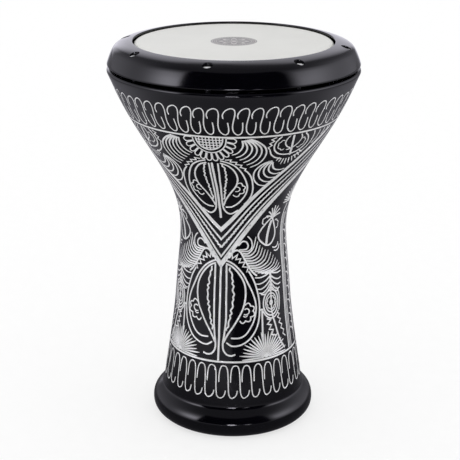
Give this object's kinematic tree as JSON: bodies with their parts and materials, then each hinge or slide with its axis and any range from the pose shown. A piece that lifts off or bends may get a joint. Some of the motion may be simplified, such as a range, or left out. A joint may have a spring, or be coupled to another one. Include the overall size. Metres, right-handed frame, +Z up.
{
  "type": "goblet drum",
  "caption": "Goblet-shaped hand drum: black cast-aluminium shell with a flared foot, smooth recessed-screw tuning rim and white synthetic head.",
  "frame": {"origin": "centre of the flat ring the foot stands on, on the drum's axis", "axes": "+Z up along the drum's axis; -Y towards the side with the two near screws; +X to the right seen from there"},
  "size_m": [0.281, 0.281, 0.4437],
  "materials": {
    "shell_lacquer": "gloss black lacquer over cast aluminium",
    "rim_lacquer": "gloss black lacquer over cast aluminium",
    "film": "satin white film",
    "hoop": "mill finish",
    "screw": "chrome plated",
    "washer": "zinc plated"
  },
  "bodies": {
    "shell": {"shell": "shell_lacquer"},
    "rim": {"tuning_rim": "rim_lacquer", "head_film": "film", "flesh_hoop": "hoop", "washer_1": "washer", "washer_2": "washer", "washer_3": "washer", "washer_4": "washer", "washer_5": "washer", "washer_6": "washer", "washer_7": "washer", "washer_8": "washer"},
    "screw_1": {"tension_screw_1": "screw"},
    "screw_2": {"tension_screw_2": "screw"},
    "screw_3": {"tension_screw_3": "screw"},
    "screw_4": {"tension_screw_4": "screw"},
    "screw_5": {"tension_screw_5": "screw"},
    "screw_6": {"tension_screw_6": "screw"},
    "screw_7": {"tension_screw_7": "screw"},
    "screw_8": {"tension_screw_8": "screw"}
  },
  "joints": [
    {"name": "rim_slide", "type": "slide", "parent": "shell", "child": "rim", "axis": [0, 0, 1], "range_m": [-0.0002, 0.003]},
    {"name": "screw_1_turn", "type": "hinge", "parent": "rim", "child": "screw_1", "pos_m": [-0.02667, -0.1213, 0.4324], "axis": [0, 0, 1], "range_deg": [-72, 1080]},
    {"name": "screw_2_turn", "type": "hinge", "parent": "rim", "child": "screw_2", "pos_m": [0.06692, -0.10463, 0.4324], "axis": [0, 0, 1], "range_deg": [-72, 1080]},
    {"name": "screw_3_turn", "type": "hinge", "parent": "rim", "child": "screw_3", "pos_m": [0.1213, -0.02667, 0.4324], "axis": [0, 0, 1], "range_deg": [-72, 1080]},
    {"name": "screw_4_turn", "type": "hinge", "parent": "rim", "child": "screw_4", "pos_m": [0.10463, 0.06692, 0.4324], "axis": [0, 0, 1], "range_deg": [-72, 1080]},
    {"name": "screw_5_turn", "type": "hinge", "parent": "rim", "child": "screw_5", "pos_m": [0.02667, 0.1213, 0.4324], "axis": [0, 0, 1], "range_deg": [-72, 1080]},
    {"name": "screw_6_turn", "type": "hinge", "parent": "rim", "child": "screw_6", "pos_m": [-0.06692, 0.10463, 0.4324], "axis": [0, 0, 1], "range_deg": [-72, 1080]},
    {"name": "screw_7_turn", "type": "hinge", "parent": "rim", "child": "screw_7", "pos_m": [-0.1213, 0.02667, 0.4324], "axis": [0, 0, 1], "range_deg": [-72, 1080]},
    {"name": "screw_8_turn", "type": "hinge", "parent": "rim", "child": "screw_8", "pos_m": [-0.10463, -0.06692, 0.4324], "axis": [0, 0, 1], "range_deg": [-72, 1080]}
  ],
  "couplings": [
    {"joint": "screw_1_turn", "follows": "rim_slide", "rad_per_m": 6283.2},
    {"joint": "screw_2_turn", "follows": "rim_slide", "rad_per_m": 6283.2},
    {"joint": "screw_3_turn", "follows": "rim_slide", "rad_per_m": 6283.2},
    {"joint": "screw_4_turn", "follows": "rim_slide", "rad_per_m": 6283.2},
    {"joint": "screw_5_turn", "follows": "rim_slide", "rad_per_m": 6283.2},
    {"joint": "screw_6_turn", "follows": "rim_slide", "rad_per_m": 6283.2},
    {"joint": "screw_7_turn", "follows": "rim_slide", "rad_per_m": 6283.2},
    {"joint": "screw_8_turn", "follows": "rim_slide", "rad_per_m": 6283.2}
  ]
}
